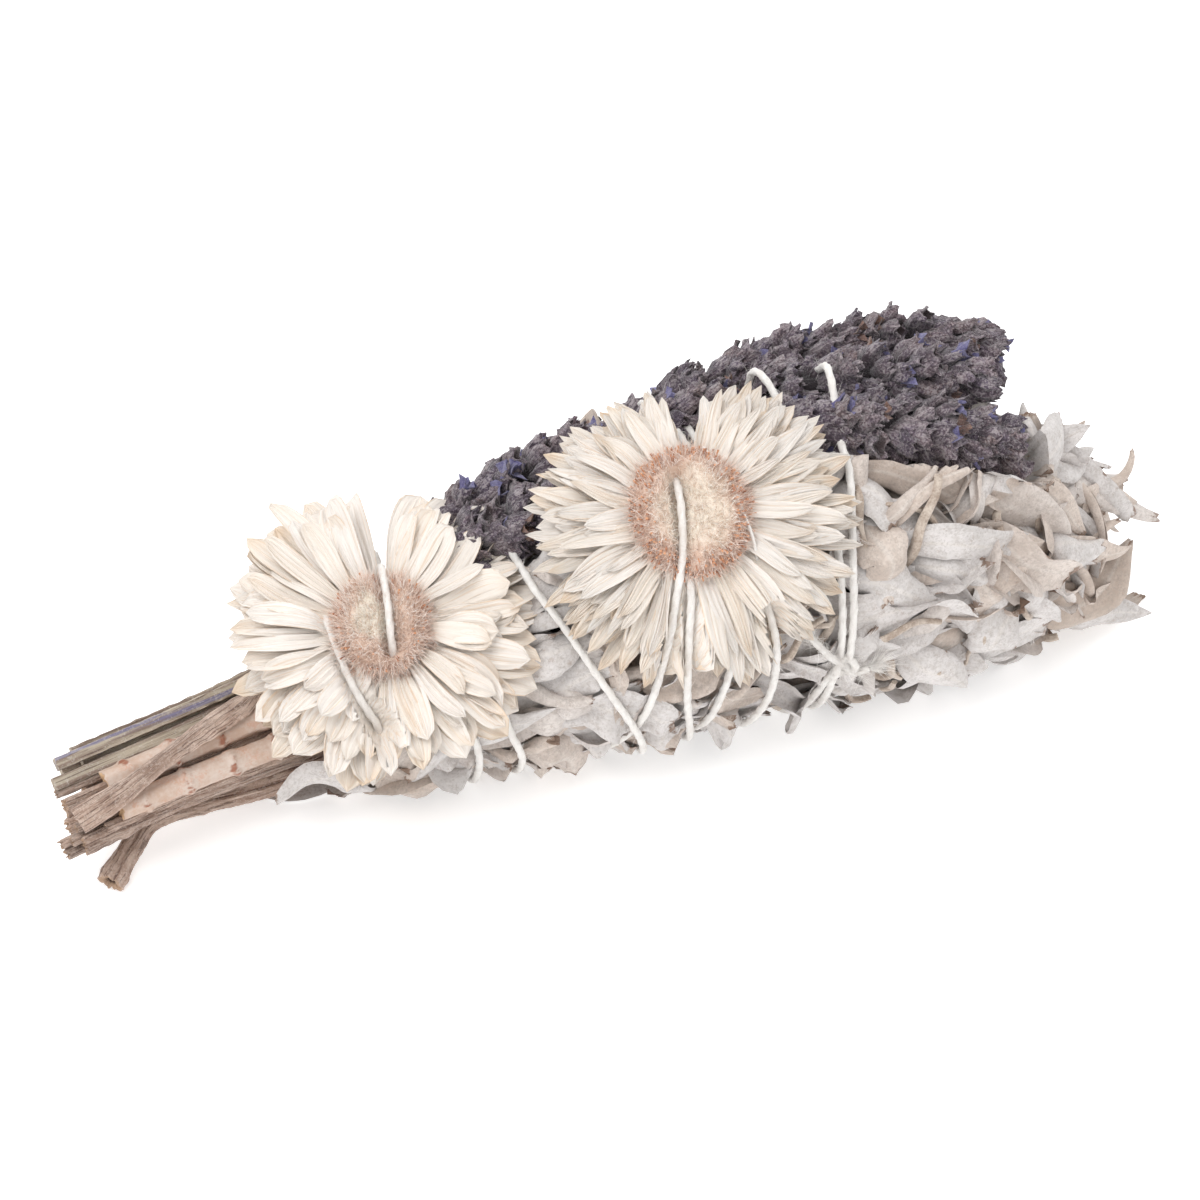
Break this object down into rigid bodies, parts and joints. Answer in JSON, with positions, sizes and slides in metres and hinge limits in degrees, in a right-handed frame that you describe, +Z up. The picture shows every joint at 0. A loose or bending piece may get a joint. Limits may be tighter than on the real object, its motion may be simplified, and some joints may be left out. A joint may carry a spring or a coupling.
{
  "type": "dried herb bunch with lavender",
  "caption": "Dried sage and lavender bunch with strawflower heads, bound with cotton string, lying on its side.",
  "frame": {"origin": "on the table, under the middle of the bunch's box", "axes": "+X along the bunch, from the cut stems to the leaf tips; +Z up; the flower heads face -Y and up"},
  "size_m": [0.1772, 0.0618, 0.0584],
  "materials": {
    "sage_leaf": "matt felted leaf, pale warm grey",
    "sage_wood": "dry wrinkled bark, grey-brown",
    "peeled_sage_wood": "smooth knobbly bark, peach",
    "lavender_stalk": "dry ribbed stalk, grey",
    "lavender_flower": "felted calyces, grey-violet",
    "strawflower_bract": "papery, satin cream",
    "strawflower_disc": "fuzzy florets, grey-white with a rust ring",
    "cotton_string": "twisted cotton, white, fuzzy"
  },
  "bodies": {
    "root": {"sage_stem_1": "sage_wood", "sage_stem_2": "sage_wood", "sage_stem_3": "sage_wood", "sage_stem_4": "sage_wood", "sage_stem_5": "sage_wood", "sage_stem_6": "sage_wood", "sage_stem_7": "peeled_sage_wood", "sage_stem_8": "peeled_sage_wood", "sage_stem_9": "sage_wood", "sage_stem_10": "sage_wood", "sage_stem_11": "sage_wood", "sage_stem_12": "sage_wood", "sage_stem_13": "sage_wood", "sage_stem_14": "sage_wood", "sage_leaves_1": "sage_leaf", "sage_leaves_2": "sage_leaf", "sage_leaves_3": "sage_leaf", "sage_leaves_4": "sage_leaf", "sage_leaves_5": "sage_leaf", "sage_leaves_6": "sage_leaf", "sage_leaves_7": "sage_leaf", "lavender_stalk_1": "lavender_stalk", "lavender_stalk_2": "lavender_stalk", "lavender_stalk_3": "lavender_stalk", "lavender_stalk_4": "lavender_stalk", "lavender_stalk_5": "lavender_stalk", "lavender_stalk_6": "lavender_stalk", "lavender_spike_1": "lavender_flower", "lavender_spike_2": "lavender_flower", "lavender_spike_3": "lavender_flower", "lavender_spike_4": "lavender_flower", "lavender_spike_5": "lavender_flower", "lavender_spike_6": "lavender_flower", "strawflower_1_bracts": "strawflower_bract", "strawflower_1_disc": "strawflower_disc", "strawflower_2_bracts": "strawflower_bract", "strawflower_2_disc": "strawflower_disc", "cotton_string": "cotton_string"}
  },
  "joints": []
}
